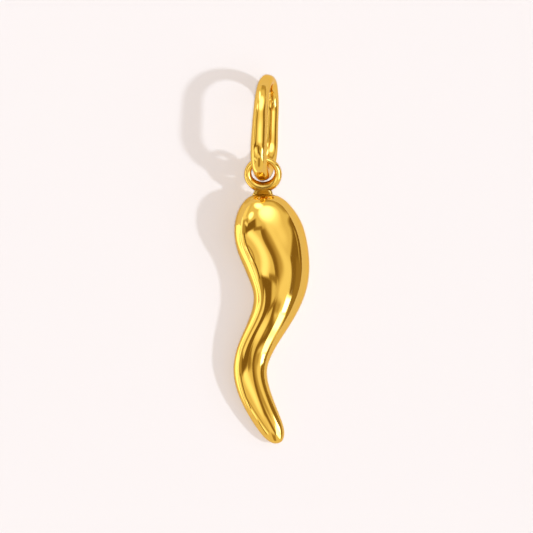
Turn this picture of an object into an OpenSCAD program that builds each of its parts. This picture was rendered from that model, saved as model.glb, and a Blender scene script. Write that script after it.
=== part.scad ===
// A small pendant charm in polished gold-coloured metal: a plump chili pepper whose tail bends aside and
// back to a blunt tip, a wire eyelet soldered on its shoulder, and a loose oval bail through the eyelet.
// It lies on its back as it was laid down. +Z is up from the surface and +Y points to the bail.
// The origin is on the surface, under the middle of the charm. Sizes are in millimetres.

/* [Pepper] */
// Length of the pepper from its shoulder to its tip
pepper_length = 20; // [19:0.25:22]
// Width of the pepper at its head, where it is plumpest
pepper_width = 5.7; // [5:0.1:6.4]
// Depth of the pepper at its head, from its back to its front
pepper_depth = 4.4; // [4.2:0.1:4.6]

/* [Eyelet] */
// Diameter of the eyelet, measured at the middle of its wire
eyelet_d = 2.44; // [2.38:0.02:2.6]
// Thickness of the eyelet's wire at its free end
eyelet_wire_d = 0.48; // [0.4:0.01:0.52]
// Thickness of the eyelet's wire at its foot, with the solder that has run over it
eyelet_foot_d = 0.84; // [0.6:0.01:0.86]
// How far the eyelet's free end is raised from the surface, in degrees
eyelet_tilt = 26; // [20:1:30]
// Solder between the middle of the eyelet's wire and the pepper's shoulder
neck_length = 0.55; // [0.45:0.05:0.7]

/* [Bail] */
// Length of the bail between the middles of its two arches
bail_length = 7.48; // [6.6:0.02:9]
// Height of the bail between the middles of its two limbs
bail_height = 4.96; // [4.8:0.02:5.1]
// Thickness of the bail's wire at its thinnest place, at the upper end of the limb on the surface
bail_thin_d = 0.96; // [0.8:0.01:1.05]
// Thickness of the bail's wire at its thickest place, at the lower end of the raised limb
bail_thick_d = 1.34; // [1.05:0.01:1.36]
// How far the raised limb leans over to -X, in degrees
bail_lean = 11.5; // [8:0.5:14]
// How far the bail turns clockwise on the surface, in degrees
bail_turn = 3; // [0:0.5:4]

/* [Smoothness] */
// Sides of the pepper's cross-section
pepper_sides = 40; // [24:4:48]
// Sides of the solder neck's cross-section
neck_sides = 24; // [16:4:32]
// Rings between two rows of a table of sections
rings_per_row = 5; // [3:1:6]
// Sides of the eyelet's and the bail's wire
wire_sides = 16; // [12:2:20]
// Rings along the eyelet
eyelet_rings = 48; // [32:4:60]
// Rings along the bail
bail_rings = 72; // [48:4:88]

/* [Hidden] */

gold = [0.90, 0.70, 0.30];

// Columns of the section tables
DOWN = 0;   // place along the length, down from the shoulder
ASIDE = 1;  // middle of the section, towards +X
WIDE = 2;   // width of the section
RISE = 3;   // depth of its front half, above its widest line
DROP = 4;   // depth of its back half, below its widest line
HIGH = 5;   // its widest line, above the pepper's back
ROLL = 6;   // how far it is rolled, with its +X side up, in degrees

// The pepper's sections from shoulder to tip, a row for each swell or bend. The surface runs smoothly near
// the rows and closes round at both ends. DOWN and ASIDE are percent of the length, WIDE is percent of the
// width at the head, and RISE, DROP and HIGH are percent of the depth at the head.
PEPPER = [
    [  -0.5,    -1,   0,    0,    0,   56,   0],
    [     1,    -1,  46,   26,   26,   56,   0],
    [     6,     0,  78,   42,   42,   56,  -4],
    [    15,     2, 103,   49,   46, 47.5, -12],
    [    26,  5.75,  95,   50,   39,   39,  12],
    [    37,  7.25,  81,   46,   37,   37, -10],
    [    48,  4.75,  57,   36,   42,   46, -30],
    [    59, -1.75,  49,   27, 36.5, 37.5,  -6],
    [  69.5,    -6,  48,   20, 34.5, 36.5,  20],
    [  79.5,    -4,  46,   18,   31, 32.5,  24],
    [    89,  0.75,  40, 15.5,   26, 27.5,  18],
    [    96,  4.75,  33, 12.5,   18,   20,  10],
    [  99.5,   6.5,  17,    7,    9,   16,   0],
    [100.25,  6.75,   0,    0,    0,   16,   0],
];

// The solder neck's sections, from inside the eyelet's foot to inside the shoulder. DOWN is percent of
// neck_length, WIDE, RISE and DROP are percent of the eyelet's diameter, HIGH is percent of neck_length above
// the middle of the shoulder, and ASIDE and ROLL stay zero.
NECK = [
    [-130, 0,  0,  0,  0, 14, 0],
    [-120, 0, 45, 10, 12, 14, 0],
    [ -70, 0, 55, 10, 17,  8, 0],
    [   0, 0, 62, 12, 20,  0, 0],
    [  60, 0, 85, 20, 28,  0, 0],
    [ 125, 0, 60, 22, 22,  0, 0],
    [ 140, 0,  0,  0,  0,  0, 0],
];

// Rows of a table with each column times its own unit
function in_units(rows, units) = [for (r = rows) [for (c = [DOWN:ROLL]) r[c]*units[c]]];

// The row that mirrors its neighbour across a round end, so that the end is a smooth pole
function mirrored(r) = [r[DOWN], r[ASIDE], -r[WIDE], -r[RISE], -r[DROP], r[HIGH], r[ROLL]];
function round_ended(rows) = concat([mirrored(rows[1])], rows, [mirrored(rows[len(rows) - 2])]);

// Smooth curve between rows b and c, and its direction, with t from 0 to 1 (a uniform cubic B-spline)
function curve(a, b, c, d, t) =
    (pow(1 - t, 3)*a + (3*pow(t, 3) - 6*t*t + 4)*b + (-3*pow(t, 3) + 3*t*t + 3*t + 1)*c + pow(t, 3)*d)/6;
function slope(a, b, c, d, t) = (-pow(1 - t, 2)*a + (3*t*t - 4*t)*b + (-3*t*t + 2*t + 1)*c + t*t*d)/2;

// One ring of points across the curve of a row: two halves of ellipses, rolled together
function ring(row, way, sides) =
    let (heading = atan2(-way[DOWN], way[ASIDE]) + 90, roll = row[ROLL])
    [for (j = [0:sides - 1])
        let (turn = 360*j/sides, wide = row[WIDE]/2*cos(turn),
             tall = (sin(turn) > 0 ? row[RISE] : row[DROP])*sin(turn),
             out = wide*cos(roll) - tall*sin(roll), up = wide*sin(roll) + tall*cos(roll))
        [row[ASIDE] + out*cos(heading), -row[DOWN] + out*sin(heading), row[HIGH] + up]];

// All points of a body lofted through a table: the first pole, the rings, the last pole
function loft_points(rows, sides) =
    let (all = round_ended(rows), last = len(rows) - 2,
         first_pole = curve(all[0], all[1], all[2], all[3], 0),
         last_pole = curve(all[last], all[last + 1], all[last + 2], all[last + 3], 1))
    concat(
        [[first_pole[ASIDE], -first_pole[DOWN], first_pole[HIGH]]],
        [for (i = [0:last], k = [0:rings_per_row - 1]) if (i + k > 0)
            let (t = k/rings_per_row)
            each ring(curve(all[i], all[i + 1], all[i + 2], all[i + 3], t),
                      slope(all[i], all[i + 1], all[i + 2], all[i + 3], t), sides)],
        [[last_pole[ASIDE], -last_pole[DOWN], last_pole[HIGH]]]);

// Faces of a lofted body: a fan at each pole and pairs of triangles between rings
function loft_faces(count, sides) =
    let (rings = (count - 2)/sides, end = count - 1, far = 1 + (rings - 1)*sides)
    concat(
        [for (j = [0:sides - 1]) [0, 1 + j, 1 + (j + 1)%sides]],
        [for (i = [0:rings - 2], j = [0:sides - 1])
            let (a = 1 + i*sides + j, b = 1 + i*sides + (j + 1)%sides)
            each [[a, a + sides, b], [b, a + sides, b + sides]]],
        [for (j = [0:sides - 1]) [end, far + (j + 1)%sides, far + j]]);

function lowest(points, axis) = min([for (p = points) p[axis]]);
function highest(points, axis) = max([for (p = points) p[axis]]);
function moved(points, by) = [for (p = points) p + by];

// The pepper with its shoulder at x = y = 0, lowered or raised so that its back touches the surface
pepper_rows = in_units(PEPPER, [pepper_length, pepper_length, pepper_width, pepper_depth, pepper_depth,
                                pepper_depth, 100]/100);
loose_pepper = loft_points(pepper_rows, pepper_sides);
back_lift = -lowest(loose_pepper, 2);
pepper_points = moved(loose_pepper, [0, 0, back_lift]);
shoulder = pepper_points[0];

// The eyelet's middle: its wire's foot is neck_length from the shoulder, a little towards +X
eyelet_r = eyelet_d/2;
eyelet_aside = 0.23;
eyelet_mid = shoulder + [eyelet_aside, neck_length + eyelet_r*cos(eyelet_tilt), eyelet_r*sin(eyelet_tilt)];

// The solder neck, under the eyelet
neck_rows = in_units(NECK, [neck_length, neck_length, eyelet_d, eyelet_d, eyelet_d, neck_length, 100]/100);
neck_points = moved(loft_points(neck_rows, neck_sides), [eyelet_mid[0], shoulder[1], shoulder[2]]);

// Points and faces of a wire swept round a closed loop. outward points away from the loop's middle, and
// side is square to the loop.
function wire_ring(p, outward, side, r) =
    [for (j = [0:wire_sides - 1]) let (turn = 360*j/wire_sides) p + r*(outward*cos(turn) + side*sin(turn))];
function loop_faces(rings) = [for (i = [0:rings - 1], j = [0:wire_sides - 1])
    let (i2 = (i + 1)%rings, j2 = (j + 1)%wire_sides,
         a = i*wire_sides + j, b = i2*wire_sides + j, c = i*wire_sides + j2, d = i2*wire_sides + j2)
    each [[a, b, c], [c, b, d]]];

// The eyelet, flat and round its own middle. The wire thickens towards the foot, where turn is zero.
foot_shape = 2;
eyelet_points = [for (i = [0:eyelet_rings - 1])
    let (turn = 360*i/eyelet_rings, outward = [-sin(turn), -cos(turn), 0],
         foot = pow((1 + cos(turn))/2, foot_shape),
         wire_d = eyelet_wire_d + (eyelet_foot_d - eyelet_wire_d)*foot)
    each wire_ring(eyelet_r*outward, outward, [0, 0, 1], wire_d/2)];

// A place along the bail's oval, with share from 0 to 1 of the way round: the lower arch from the limb on the
// surface up to the raised limb, along the raised limb, over the upper arch and back. Y is along, Z is up.
arch_r = bail_height/2;
straight = bail_length - bail_height;
arch_share = PI*arch_r/(2*PI*arch_r + 2*straight);
limb_share = 0.5 - arch_share;
function oval(share) =
    share < arch_share ?
        let (turn = 180*share/arch_share)
        [0, -straight/2 - arch_r*sin(turn), -arch_r*cos(turn)]
    : share < 0.5 ?
        [0, straight*((share - arch_share)/limb_share - 0.5), arch_r]
    : -oval(share - 0.5);
function oval_outward(share) =
    let (p = oval(share), bend = max(-straight/2, min(straight/2, p[1])))
    (p - [0, bend, 0])/arch_r;

// The wire thickens upwards from the surface and along the bail towards its lower end
raised_share = 0.35;
lower_share = 1 - raised_share;
function bail_wire_r(p) =
    let (raised = (1 + p[2]/arch_r)/2, lower = 0.5 - p[1]/bail_length)
    (bail_thin_d + (bail_thick_d - bail_thin_d)*(raised_share*raised + lower_share*lower))/2;

// A place on the bail as it leans over to -X, and as it is turned clockwise on the surface
function leaned(p) =
    [p[0]*cos(bail_lean) - p[2]*sin(bail_lean), p[1], p[0]*sin(bail_lean) + p[2]*cos(bail_lean)];
function turned(p) =
    [p[0]*cos(bail_turn) + p[1]*sin(bail_turn), -p[0]*sin(bail_turn) + p[1]*cos(bail_turn), p[2]];

loose_bail = [for (i = [0:bail_rings - 1])
    let (share = i/bail_rings, p = oval(share))
    each [for (q = wire_ring(p, oval_outward(share), [1, 0, 0], bail_wire_r(p))) turned(leaned(q))]];

// The bail lies on the surface, and the middle of its lower arch is close to the eyelet's middle
bail_seat = [0.02, 0.01];
lower_arch = turned(leaned([0, -bail_length/2, 0]));
bail_at = [eyelet_mid[0] - lower_arch[0] + bail_seat[0], eyelet_mid[1] - lower_arch[1] + bail_seat[1],
           -lowest(loose_bail, 2)];
bail_points = moved(loose_bail, bail_at);

// The origin goes to the middle of the charm's box, on the surface
charm_points = concat(pepper_points, bail_points);
middle = [for (axis = [0, 1]) (lowest(charm_points, axis) + highest(charm_points, axis))/2];
to_origin = [-middle[0], -middle[1], 0];

// The cast pepper
module pepper() {
    polyhedron(pepper_points, loft_faces(len(pepper_points), pepper_sides), convexity = 6);
}

// The solder that holds the eyelet on the pepper's shoulder
module solder_neck() {
    polyhedron(neck_points, loft_faces(len(neck_points), neck_sides), convexity = 4);
}

// The round eyelet, tilted up from the surface
module eyelet() {
    translate(eyelet_mid)
        rotate([eyelet_tilt, 0, 0])
            polyhedron(eyelet_points, loop_faces(eyelet_rings), convexity = 4);
}

// Pepper, solder and eyelet are one piece of metal
module pepper_drop() {
    color(gold)
        translate(to_origin)
            union() {
                pepper();
                solder_neck();
                eyelet();
            }
}

// The loose oval bail that takes the chain
module bail() {
    color(gold)
        translate(to_origin)
            polyhedron(bail_points, loop_faces(bail_rings), convexity = 4);
}

pepper_drop();
bail();
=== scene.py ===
import math

import bpy
import numpy as np
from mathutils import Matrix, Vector


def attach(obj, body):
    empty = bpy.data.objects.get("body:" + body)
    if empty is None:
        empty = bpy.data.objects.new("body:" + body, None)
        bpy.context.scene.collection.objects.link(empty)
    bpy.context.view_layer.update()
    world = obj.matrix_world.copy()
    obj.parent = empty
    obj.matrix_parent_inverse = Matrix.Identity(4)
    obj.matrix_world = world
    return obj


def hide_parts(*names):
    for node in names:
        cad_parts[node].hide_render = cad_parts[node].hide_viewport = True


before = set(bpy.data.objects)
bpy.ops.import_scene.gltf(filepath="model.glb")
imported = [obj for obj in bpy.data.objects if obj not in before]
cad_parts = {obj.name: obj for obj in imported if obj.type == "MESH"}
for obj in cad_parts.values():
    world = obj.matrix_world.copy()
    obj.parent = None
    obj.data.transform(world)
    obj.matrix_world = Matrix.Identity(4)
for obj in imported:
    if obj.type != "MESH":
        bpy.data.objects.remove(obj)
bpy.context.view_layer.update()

# A pendant charm in polished gold plate: a chili pepper with an eyelet soldered on its shoulder, and a loose oval
# bail. It lies on its back on a pale table, and the camera looks straight down on it.

MM = 0.001

# The charm's sizes, as the solids have them. The eyelet and the bail are measured to the middle of their wire. The
# eyelet's wire thickens towards its foot, over a shorter stretch where FOOT_SHAPE is larger. RAISED_SHARE of the
# bail's thickening goes with its height, and the rest with how near the lower arch is.
PEPPER_LENGTH = 20 * MM
PEPPER_WIDTH = 5.7 * MM
PEPPER_DEPTH = 4.4 * MM
NECK_LENGTH = 0.55 * MM
EYELET_D = 2.44 * MM
EYELET_WIRE_D = 0.48 * MM
EYELET_FOOT_D = 0.84 * MM
FOOT_SHAPE = 2
EYELET_TILT = math.radians(26)
EYELET_ASIDE = 0.23 * MM
BAIL_LENGTH = 7.48 * MM
BAIL_HEIGHT = 4.96 * MM
BAIL_THIN_D = 0.96 * MM
BAIL_THICK_D = 1.34 * MM
RAISED_SHARE = 0.35
BAIL_LEAN = math.radians(11.5)
BAIL_TURN = math.radians(3)
BAIL_SEAT = np.array([0.02, 0.01, 0]) * MM

# Dents that the hand polishing left in the bail's wire: two waves round the wire, which wander as they run along it,
# and flats on its inner and outer side, which face a little towards the bail's axis. A row of WANDERS has how far the
# waves wander, in radians, how often round the oval, and where they start.
WAVES_DEEP = 0.035 * MM
WAVES_ROUND = 2
WANDERS = [(1.6, 3, 1), (0.5, 7, 0)]
FLATS_DEEP = 0.03 * MM
FLATS_FACE = math.radians(17)

# How fine the polished meshes are, and how sharp an edge has to be for a crease
RINGS_PER_ROW = 16
PEPPER_SIDES = 128
NECK_SIDES = 96
WIRE_SIDES = 48
EYELET_RINGS = 192
BAIL_RINGS = 288
CREASE = math.radians(35)

# Columns of the section tables: place along the length, middle towards +X, width, depth of the front half, depth of
# the back half, height of the widest line above the back, and roll with the +X side up, in degrees
DOWN, ASIDE, WIDE, RISE, DROP, HIGH, ROLL = range(7)

# The pepper from shoulder to tip, in percent of its length, its width and its depth
PEPPER = [
    (-0.5, -1, 0, 0, 0, 56, 0),
    (1, -1, 46, 26, 26, 56, 0),
    (6, 0, 78, 42, 42, 56, -4),
    (15, 2, 103, 49, 46, 47.5, -12),
    (26, 5.75, 95, 50, 39, 39, 12),
    (37, 7.25, 81, 46, 37, 37, -10),
    (48, 4.75, 57, 36, 42, 46, -30),
    (59, -1.75, 49, 27, 36.5, 37.5, -6),
    (69.5, -6, 48, 20, 34.5, 36.5, 20),
    (79.5, -4, 46, 18, 31, 32.5, 24),
    (89, 0.75, 40, 15.5, 26, 27.5, 18),
    (96, 4.75, 33, 12.5, 18, 20, 10),
    (99.5, 6.5, 17, 7, 9, 16, 0),
    (100.25, 6.75, 0, 0, 0, 16, 0),
]

# The solder neck from inside the eyelet's foot, past the shoulder at zero, to inside the pepper. Its front dips at the
# shoulder. Places and heights are in percent of the neck's length, and the rest in percent of the eyelet's diameter.
NECK = [
    (-130, 0, 0, 0, 0, 14, 0),
    (-120, 0, 45, 13, 12, 14, 0),
    (-70, 0, 55, 16, 17, 8, 0),
    (0, 0, 62, 6, 20, 0, 0),
    (60, 0, 85, 8, 28, 0, 0),
    (125, 0, 60, 10, 22, 0, 0),
    (140, 0, 0, 0, 0, 0, 0),
]


def in_units(table, units):
    """A table in percent as an array of sizes in metres, with the roll in radians."""
    return np.array(table) * np.array([*units, math.radians(100)]) / 100


def smooth_rows(rows):
    """Smooth rows between a table's rows, the way each one heads, and the last pole (a uniform cubic B-spline)."""
    across_a_pole = np.array([1, 1, -1, -1, -1, 1, 1])
    knots = np.vstack([rows[1] * across_a_pole, rows, rows[-2] * across_a_pole])
    t = np.arange(RINGS_PER_ROW)[:, None] / RINGS_PER_ROW
    place = np.hstack([(1 - t)**3, 3*t**3 - 6*t**2 + 4, -3*t**3 + 3*t**2 + 3*t + 1, t**3]) / 6
    slope = np.hstack([-(1 - t)**2, 3*t**2 - 4*t, -3*t**2 + 2*t + 1, t**2]) / 2
    spans = range(len(rows) - 1)
    places = np.vstack([place @ knots[i:i + 4] for i in spans])
    ways = np.vstack([slope @ knots[i:i + 4] for i in spans])
    return places, ways, (knots[-3] + 4*knots[-2] + knots[-1]) / 6


def turns(count):
    """Equal steps round a circle, in radians."""
    return np.arange(count) * 2 * math.pi / count


def middle_of(row):
    """The place of a section's middle."""
    return np.array([row[ASIDE], -row[DOWN], row[HIGH]])


def rolled(a, b, angle):
    """Two coordinates turned from the first axis towards the second."""
    return a * np.cos(angle) - b * np.sin(angle), a * np.sin(angle) + b * np.cos(angle)


def rotated(points, from_axis, to_axis, angle):
    """Points turned in one plane, from one axis towards the other."""
    turned = points.copy()
    turned[..., from_axis], turned[..., to_axis] = rolled(points[..., from_axis], points[..., to_axis], angle)
    return turned


def loft(rows, sides):
    """Points and faces of a closed body through a table's sections, each one two halves of ellipses."""
    places, ways, last = smooth_rows(rows)
    rings, ways = places[1:], ways[1:]
    heading = (np.arctan2(-ways[:, DOWN], ways[:, ASIDE]) + math.pi / 2)[:, None]
    wide = rings[:, WIDE, None] / 2 * np.cos(turns(sides))
    halves = np.where(turns(sides) < math.pi, rings[:, RISE, None], rings[:, DROP, None])
    out, up = rolled(wide, halves * np.sin(turns(sides)), rings[:, ROLL, None])
    points = np.stack([rings[:, ASIDE, None] + out * np.cos(heading),
                       -rings[:, DOWN, None] + out * np.sin(heading),
                       rings[:, HIGH, None] + up], axis=-1).reshape(-1, 3)
    points = np.vstack([middle_of(places[0]), points, middle_of(last)])
    end = len(points) - 1
    last_ring = end - sides
    faces = [(0, 1 + (j + 1) % sides, 1 + j) for j in range(sides)]
    for first in range(1, last_ring, sides):
        for j in range(sides):
            beside = (j + 1) % sides
            faces.append((first + j, first + beside, first + sides + beside, first + sides + j))
    faces += [(end, last_ring + j, last_ring + (j + 1) % sides) for j in range(sides)]
    return points, faces


def swept_wire(middles, outwards, side, radii):
    """Points and faces of a wire swept round a closed loop. outwards point away from the loop's middle, and radii
    have a row for each place along the loop, with one number or one for each side of the wire."""
    around = turns(WIRE_SIDES)[:, None]
    ring = outwards[:, None, :] * np.cos(around) + np.array(side) * np.sin(around)
    points = (middles[:, None, :] + radii[..., None] * ring).reshape(-1, 3)
    faces = []
    for i in range(len(middles)):
        here, there = i * WIRE_SIDES, (i + 1) % len(middles) * WIRE_SIDES
        for j in range(WIRE_SIDES):
            beside = (j + 1) % WIRE_SIDES
            faces.append((here + j, here + beside, there + beside, there + j))
    return points, faces


def pepper_shape():
    """The pepper with its shoulder near x = y = 0 and its back on the table."""
    units = [PEPPER_LENGTH, PEPPER_LENGTH, PEPPER_WIDTH, PEPPER_DEPTH, PEPPER_DEPTH, PEPPER_DEPTH]
    points, faces = loft(in_units(PEPPER, units), PEPPER_SIDES)
    return points - [0, 0, points[:, 2].min()], faces


def neck_shape(at):
    """The solder between the eyelet and the shoulder."""
    units = [NECK_LENGTH, NECK_LENGTH, EYELET_D, EYELET_D, EYELET_D, NECK_LENGTH]
    points, faces = loft(in_units(NECK, units), NECK_SIDES)
    return points + at, faces


def eyelet_shape(middle):
    """The round eyelet, tilted up from the table. Its wire thickens towards the foot, where turn is zero."""
    turn = turns(EYELET_RINGS)
    outwards = np.stack([-np.sin(turn), -np.cos(turn), 0 * turn], axis=-1)
    foot = ((1 + np.cos(turn)) / 2) ** FOOT_SHAPE
    wire_d = EYELET_WIRE_D + (EYELET_FOOT_D - EYELET_WIRE_D) * foot
    points, faces = swept_wire(EYELET_D / 2 * outwards, outwards, (0, 0, 1), wire_d[:, None] / 2)
    return rotated(points, 1, 2, EYELET_TILT) + middle, faces


def oval():
    """Middles and outward ways round the bail's oval in the YZ plane, from the limb on the table, over the lower
    arch, along the raised limb and over the upper arch."""
    arch_r = BAIL_HEIGHT / 2
    straight = BAIL_LENGTH - BAIL_HEIGHT
    way_round = math.pi * arch_r + straight
    along = np.arange(BAIL_RINGS // 2) / (BAIL_RINGS // 2) * way_round
    turn = np.minimum(along / arch_r, math.pi)
    past_arch = np.maximum(along - math.pi * arch_r, 0)
    outwards = np.stack([0 * turn, -np.sin(turn), -np.cos(turn)], axis=-1)
    middles = arch_r * outwards + np.stack([0 * turn, past_arch - straight / 2, 0 * turn], axis=-1)
    return np.vstack([middles, -middles]), np.vstack([outwards, -outwards])


def bail_radii(middles):
    """The wire's radius to each of its sides, round the oval: thicker where it is raised and at the lower arch, less
    the dents."""
    raised = (1 + middles[:, 2] / (BAIL_HEIGHT / 2)) / 2
    lower = 0.5 - middles[:, 1] / BAIL_LENGTH
    share = RAISED_SHARE * raised + (1 - RAISED_SHARE) * lower
    radii = (BAIL_THIN_D + (BAIL_THICK_D - BAIL_THIN_D) * share) / 2
    along, around = turns(BAIL_RINGS)[:, None], turns(WIRE_SIDES)
    wander = sum(far * np.sin(often * along + start) for far, often, start in WANDERS)
    waves = (1 + np.sin(WAVES_ROUND * around + wander)) / 2
    face = np.arctan2(np.sin(around), abs(np.cos(around)))
    flats = (np.cos(2 * (face - FLATS_FACE)) * np.cos(face)) ** 2
    return radii[:, None] - WAVES_DEEP * waves - FLATS_DEEP * flats


def bail_shape(lower_arch_at):
    """The loose oval bail, leaning to -X and turned clockwise, resting on the table."""
    def laid(p):
        return rotated(rotated(p, 0, 2, BAIL_LEAN), 0, 1, -BAIL_TURN)

    middles, outwards = oval()
    points, faces = swept_wire(middles, outwards, (1, 0, 0), bail_radii(middles))
    points = laid(points)
    at = lower_arch_at + BAIL_SEAT - laid(np.array([0, -BAIL_LENGTH / 2, 0]))
    at[2] = -points[:, 2].min()
    return points + at, faces


def mesh_piece(name, shape, shift):
    """A smooth-shaded mesh object."""
    points, faces = shape
    mesh = bpy.data.meshes.new(name)
    mesh.from_pydata((points + shift).tolist(), [], faces)
    mesh.shade_smooth()
    piece = bpy.data.objects.new(name, mesh)
    bpy.context.scene.collection.objects.link(piece)
    return piece


def fused(name, body, *others):
    """One piece of metal from a body and the pieces soldered to it, with a crease where they meet."""
    for other in others:
        joined = body.modifiers.new("joined", "BOOLEAN")
        joined.operation, joined.solver, joined.object = "UNION", "EXACT", other
    graph = bpy.context.evaluated_depsgraph_get()
    mesh = bpy.data.meshes.new_from_object(body.evaluated_get(graph))
    mesh.name = name
    mesh.shade_smooth()
    mesh.set_sharp_from_angle(angle=CREASE)
    piece = bpy.data.objects.new(name, mesh)
    bpy.context.scene.collection.objects.link(piece)
    for part in (body, *others):
        bpy.data.objects.remove(part)
    return piece


class Socket:
    """One socket of a shader, for Python expressions: an operator on numbers adds a Math node."""

    def __init__(self, tree, link):
        self.tree, self.link = tree, link

    def node(self, kind, settings, inputs, output=0):
        """Adds any other node: its settings first, then the values or links of its sockets."""
        new = self.tree.nodes.new("ShaderNode" + kind)
        for name, value in settings.items():
            setattr(new, name, value)
        for name, value in inputs.items():
            if isinstance(value, Socket):
                self.tree.links.new(value.link, new.inputs[name])
            else:
                new.inputs[name].default_value = value
        return Socket(self.tree, new.outputs[output] if new.outputs else None)

    def math(self, operation, *others):
        return self.node("Math", {"operation": operation}, dict(enumerate((self, *others))))

    def __add__(self, other): return self.math("ADD", other)
    def __radd__(self, other): return self.math("ADD", other)
    def __sub__(self, other): return self.math("SUBTRACT", other)
    def __rsub__(self, other): return self.math("MULTIPLY", -1) + other
    def __mul__(self, other): return self.math("MULTIPLY", other)
    def __rmul__(self, other): return self.math("MULTIPLY", other)
    def __truediv__(self, other): return self.math("DIVIDE", other)
    def __pow__(self, other): return self.math("POWER", other)
    def __abs__(self): return self.math("ABSOLUTE")

    def step(self, start, end):
        """A smooth step from 0 to 1 as this number goes from start to end."""
        return self.node("MapRange", {"interpolation_type": "SMOOTHSTEP"},
                         {"Value": self, "From Min": start, "From Max": end})


def mixed(a, b, share):
    """A number that changes from a to b as share goes from 0 to 1."""
    return a + (b - a) * share


def mixed_colour(a, b, share):
    """A colour that changes from a to b as share goes from 0 to 1."""
    return share.node("Mix", {"data_type": "RGBA"}, {"Factor": share, "A": a, "B": b}, "Result")


def shader_tree(owner):
    """The empty node tree of a new material or world."""
    owner.use_nodes = True
    owner.node_tree.nodes.clear()
    return Socket(owner.node_tree, None)


# The gold: its two tones, its tint at grazing angles, and how rough it is where the hairlines are finest and how
# much rougher where they are coarsest
GOLD_TONES = (0.80, 0.49, 0.095, 1), (0.80, 0.51, 0.105, 1)
GRAZING_TINT = (0.95, 0.80, 0.50, 1)
POLISH = 0.04
HAIRLINE_POLISH = 0.05

# Round the solder the gold is rougher and painted darker, a painted shade in the crease where the eyelet, neck and
# shoulder meet: its middle from the pepper's first pole, its radius, where it has faded out, its colour and how rough
# it is
SEAM_AT = np.array([EYELET_ASIDE, NECK_LENGTH / 3, 0.3 * MM])
SEAM_R = 0.55 * MM
SEAM_END_R = 0.95 * MM
SEAM_SHADE_COLOUR = (0.46, 0.27, 0.05, 1)
SEAM_ROUGH = 0.25

# The polish's relief and the changes of tone: how many to a metre, and how high
WAVES_SCALE = 0.35 / MM
WAVES_HIGH = 0.010 * MM
HAIRLINES_SCALE = 9 / MM
HAIRLINES_HIGH = 0.0004 * MM
TONES_SCALE = 0.6 / MM


def polished_gold(seam_middle):
    """Polished gold plate: faint waves from the hand polishing, hairlines, and slight changes of tone and gloss. Round
    the solder it is rougher, and its colour is painted darker, a painted shade in the crease where the eyelet, neck
    and shoulder meet."""
    material = bpy.data.materials.new("polished_gold")
    start = shader_tree(material)
    place = start.node("TexCoord", {}, {}, "Object")
    waves = start.node("TexNoise", {}, {"Vector": place, "Scale": WAVES_SCALE, "Detail": 1.0, "Roughness": 0.4})
    hairlines = start.node("TexNoise", {}, {"Vector": place, "Scale": HAIRLINES_SCALE, "Detail": 3.0,
                                            "Roughness": 0.6})
    tone = start.node("TexNoise", {}, {"Vector": place, "Scale": TONES_SCALE, "Detail": 2.0})
    # painted shade: the gold darkens and dulls towards the crease round the solder
    shaded_seam = start.node("VectorMath", {"operation": "DISTANCE"}, {0: place, 1: tuple(seam_middle)}, "Value")
    shaded_seam = shaded_seam.step(SEAM_END_R, SEAM_R)
    wavy = start.node("Bump", {}, {"Height": waves, "Distance": WAVES_HIGH, "Strength": 0.6})
    normal = start.node("Bump", {}, {"Height": hairlines, "Distance": HAIRLINES_HIGH, "Strength": 0.3,
                                     "Normal": wavy})
    surface = start.node("BsdfPrincipled", {}, {
        # the painted shade round the solder darkens the base colour
        "Base Color": mixed_colour(mixed_colour(*GOLD_TONES, tone), SEAM_SHADE_COLOUR, shaded_seam),
        "Metallic": 1.0,
        "Roughness": mixed(POLISH + HAIRLINE_POLISH * hairlines, SEAM_ROUGH, shaded_seam),
        "Specular Tint": GRAZING_TINT,
        "Normal": normal})
    start.node("OutputMaterial", {}, {"Surface": surface})
    return material


TABLE_SIZE = 3.0
TABLE_COLOUR = (0.80, 0.80, 0.80, 1)


def table_top():
    """The plain pale table."""
    material = bpy.data.materials.new("pale_table")
    start = shader_tree(material)
    surface = start.node("BsdfPrincipled", {}, {"Base Color": TABLE_COLOUR, "Roughness": 0.8,
                                                "Specular IOR Level": 0.0})
    start.node("OutputMaterial", {}, {"Surface": surface})
    half = TABLE_SIZE / 2
    corners = [(-half, -half, 0), (half, -half, 0), (half, half, 0), (-half, half, 0)]
    table = mesh_piece("table", (np.array(corners), [(0, 1, 2, 3)]), 0)
    table.data.materials.append(material)
    return table


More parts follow.
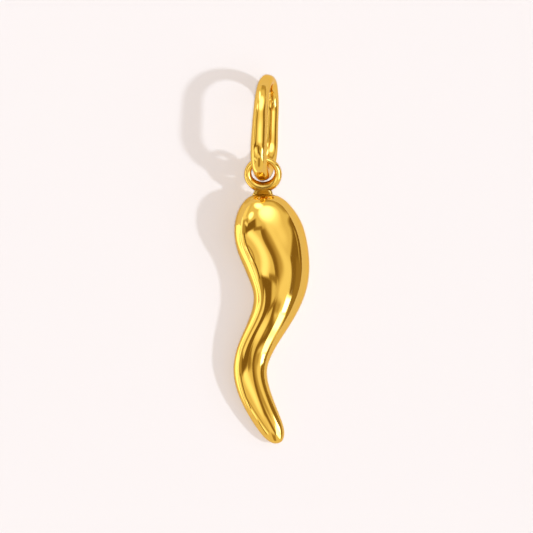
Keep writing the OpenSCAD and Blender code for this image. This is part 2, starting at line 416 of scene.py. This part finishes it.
# What stands over the table, as the polished metal sees it. East and north are degrees from straight up towards +X
# and +Y. Each row is laid over the ones before it: its middle, its half length and half width, how far it is turned
# anticlockwise, all in degrees, and how bright it is against the table. A card also has how wide its ends and its
# long sides fade, in degrees. A glow is an oval that fades from its middle.
EAST, NORTH, LONG, BROAD, TURN, BRIGHT, ENDS, SIDES = range(8)
ROOM_BRIGHT = 0.95
CARDS = [
    (-85, 50, 45, 22, 90, 1.25, 20, 16),    # pale wall on the upper left, and the dull line at its end
    (-58, 42, 26, 4, 75, 0.80, 6, 8),
    (45, 84, 48, 14, 0, 0.50, 12, 12),      # brown ceiling beyond the bail, darker towards the horizon
    (60, 60, 30, 14, -50, 0.50, 14, 16),
    (76, 49, 24, 5, -55, 0.28, 8, 8),
    (22, -17, 18, 12, -15, 1.20, 10, 8),    # pale front
    (84.5, 3, 39, 22, 43, 0.20, 3, 4),      # dark cloth on the right, a fold in it, and its brown end
    (77.5, 7, 14, 1.5, 90, 0.70, 3, 2),
    (75, -33, 28, 13, 90, 0.30, 8, 8),
    (-91, -30, 50, 15, 98, 1.75, 8, 5),     # bright left end of the table
    (9, -16.5, 15, 6.5, -20, 0.54, 14, 7),  # dark gap beside the pale card
    (-4, -21, 11, 8, -80, 0.19, 3, 12),
    (8, -35, 15, 5, -38, 0.19, 4, 8),
    (-8, -41, 20, 6, -22, 1.15, 4, 2),      # pale card on the left, and its sheen
    (-38, -31, 28.5, 20, 0, 0.95, 3, 2),
    (-34, -23, 22, 7.5, -24, 1.70, 20, 12),
    (-66, -4, 16, 13, 90, 0.50, 8, 5),      # brown cloth above it, the dark gap between them, and a light in it
    (-42.5, -6.4, 20.5, 8, 14, 0.17, 10, 4),
    (-17, -10.5, 13, 2.5, 8, 0.28, 4, 3),
    (-60.5, 0.5, 8, 3, -32, 1.3, 3, 2),
    (-48, -50, 24, 2.5, -15, 2.0, 4, 2),    # light below the pale card, and its dark edges
    (-64.5, -32, 15, 3, 105, 0.15, 2, 2),
    (-38, -44, 25, 1.5, -13, 0.45, 4, 2),
    (-43, -56, 9, 3, -40, 0.25, 3, 3),
    (4, -62, 14, 10, 90, 0.35, 8, 6),       # brown end of the room, beyond the tip
    (48, -25, 11, 8, -17, 5.5, 4, 4),       # bright box
    (40.6, -41.6, 16, 9, -24, 4.0, 4, 5),
]
GLOWS = [
    (17, 21, 39, 29, 0, 2.1),               # big soft box, and its core
    (8, 24, 32, 28, 0, 3.0),
    (-22, 50, 27, 17, -38, 3.6),            # two small soft boxes on the upper left
    (-45, 17.5, 13, 13, 0, 3.0),
]

# What the metal sees is brown where it is dark and pale where it is bright: red and blue are these multiples of
# these powers of the brightness
RED, RED_POWER = 1.05, 0.79
BLUE, BLUE_POWER = 0.8, 1.5

# The colour of the room's light on the table, and of the room behind the table's edge
FILL_LIGHT = (0.10, 0.095, 0.09, 1)
ROOM_COLOUR = (0.99, 0.94, 0.93, 1)

# Keeps the direction straight up from a division by zero
NEARLY_ZERO = 1e-6


def from_middle(row, east, north):
    """A direction's distance along and across a card or glow, from its middle."""
    cosine, sine = math.cos(math.radians(row[TURN])), math.sin(math.radians(row[TURN]))
    across, up = east - row[EAST], north - row[NORTH]
    return across * cosine + up * sine, up * cosine - across * sine


def within(distance, half, fade):
    """1 within half of a card's middle and 0 beyond it, with the fade half inside and half outside."""
    return abs(distance).step(half + fade / 2, half - fade / 2)


def over_the_table(start):
    """The colour that the metal sees in each direction."""
    way = start.node("TexCoord", {}, {}, "Generated")
    x, y, z = (start.node("SeparateXYZ", {}, {0: way}, axis) for axis in "XYZ")
    flat = (x * x + y * y + NEARLY_ZERO) ** 0.5
    tilt = z.math("ARCCOSINE") * math.degrees(1)
    east, north = tilt * x / flat, tilt * y / flat
    bright = ROOM_BRIGHT
    for card in CARDS:
        along, aside = from_middle(card, east, north)
        inside = within(along, card[LONG], card[ENDS]) * within(aside, card[BROAD], card[SIDES])
        bright = mixed(bright, card[BRIGHT], inside)
    for glow in GLOWS:
        along, aside = from_middle(glow, east, north)
        inside = (along * along / glow[LONG]**2 + aside * aside / glow[BROAD]**2).step(1, 0)
        bright = mixed(bright, glow[BRIGHT], inside)
    return start.node("CombineColor", {}, {"Red": RED * bright ** RED_POWER, "Green": bright,
                                           "Blue": BLUE * bright ** BLUE_POWER})


def studio():
    """The world: a plain pale room for the camera, a weak warm light on the table, and the cards and glows for the
    metal. The metal doesn't throw their light on the table."""
    world = bpy.data.worlds.new("studio")
    bpy.context.scene.world = world
    start = shader_tree(world)
    in_metal, in_camera, past_table = (start.node("LightPath", {}, {}, what) for what in
                                       ("Is Glossy Ray", "Is Camera Ray", "Diffuse Depth"))
    lit = mixed_colour(FILL_LIGHT, over_the_table(start), in_metal)
    shown = mixed_colour(lit, ROOM_COLOUR, in_camera)
    background = start.node("Background", {}, {"Color": shown, "Strength": 1 - past_table.step(0, 1) * in_metal})
    start.node("OutputWorld", {}, {"Surface": background})


def sun(name, heading, tilt, angle, energy, colour):
    """A distant light on the table, which the metal doesn't mirror. Heading is anticlockwise from +X, tilt from
    straight up, and angle is how wide it looks, all in degrees."""
    light = bpy.data.lights.new(name, "SUN")
    light.energy, light.color, light.angle = energy, colour, math.radians(angle)
    lamp = bpy.data.objects.new(name, light)
    heading, tilt = math.radians(heading), math.radians(tilt)
    way = Vector((math.sin(tilt) * math.cos(heading), math.sin(tilt) * math.sin(heading), math.cos(tilt)))
    lamp.rotation_euler = way.to_track_quat("Z", "Y").to_euler()
    lamp.visible_glossy = False
    bpy.context.scene.collection.objects.link(lamp)


# The brightly lit left end of the table, which only the metal sees: the middle of each patch and its size, in
# millimetres, and how bright it is against the table
PATCHES = [
    (-9.3, -6, 5.4, 18, 1.35),
    (-212, 0.6, 400, 6, 1.35),
    (-212, -10.4, 400, 9.2, 1.6),
]
PATCH_HIGH = 0.1 * MM


def table_glow():
    """The bright patches of the table, as lamps that lie on it and face up."""
    for number, (x, y, width, height, bright) in enumerate(PATCHES):
        light = bpy.data.lights.new(f"patch_{number}", "AREA")
        light.shape, light.size, light.size_y = "RECTANGLE", width * MM, height * MM
        light.energy = bright * math.pi * light.size * light.size_y
        light.use_shadow = False
        lamp = bpy.data.objects.new(f"patch_{number}", light)
        lamp.location, lamp.rotation_euler = (x * MM, y * MM, PATCH_HIGH), (math.pi, 0, 0)
        lamp.visible_camera = lamp.visible_diffuse = False
        bpy.context.scene.collection.objects.link(lamp)


FRAME_WIDTH = 42.8 * MM
FRAME_MIDDLE = (-0.40 * MM, -0.61 * MM)
CAMERA_HIGH = 250 * MM
CAMERA_CLIP = (1 * MM, 10.0)


def camera():
    """The camera looks straight down and sees no perspective, like a very long lens."""
    lens = bpy.data.cameras.new("camera")
    lens.type, lens.ortho_scale = "ORTHO", FRAME_WIDTH
    lens.clip_start, lens.clip_end = CAMERA_CLIP
    view = bpy.data.objects.new("camera", lens)
    view.location = (*FRAME_MIDDLE, CAMERA_HIGH)
    bpy.context.scene.collection.objects.link(view)
    bpy.context.scene.camera = view


def charm():
    """Both pieces of the charm, in place of the solids."""
    pepper = pepper_shape()
    shoulder = pepper[0][0]
    up_from_foot = EYELET_D / 2 * np.array([0, math.cos(EYELET_TILT), math.sin(EYELET_TILT)])
    eyelet_middle = shoulder + [EYELET_ASIDE, NECK_LENGTH, 0] + up_from_foot
    bail = bail_shape(eyelet_middle)
    both = np.vstack([pepper[0], bail[0]])
    middle = (both.min(0) + both.max(0)) / 2
    shift = np.array([-middle[0], -middle[1], 0])
    drop = fused("polished_pepper_drop", mesh_piece("pepper", pepper, shift),
                 mesh_piece("neck", neck_shape(shoulder + [EYELET_ASIDE, 0, 0]), shift),
                 mesh_piece("eyelet", eyelet_shape(eyelet_middle), shift))
    loop = mesh_piece("polished_bail", bail, shift)
    gold = polished_gold(shoulder + SEAM_AT + shift)
    for piece, node in ((drop, "pepper_drop"), (loop, "bail")):
        piece.data.materials.append(gold)
        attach(piece, "root")
        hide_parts(node)


bpy.context.scene.view_settings.view_transform = "Standard"
camera()
charm()
table_top()
studio()
sun("key", heading=-8.5, tilt=45.6, angle=3.5, energy=1.12, colour=(0.94, 1.0, 1.10))
sun("soft", heading=0, tilt=0, angle=3, energy=2.08, colour=(1.165, 1.005, 0.91))
sun("broad", heading=0, tilt=35, angle=70, energy=0.58, colour=(0.90, 1.0, 1.20))
table_glow()
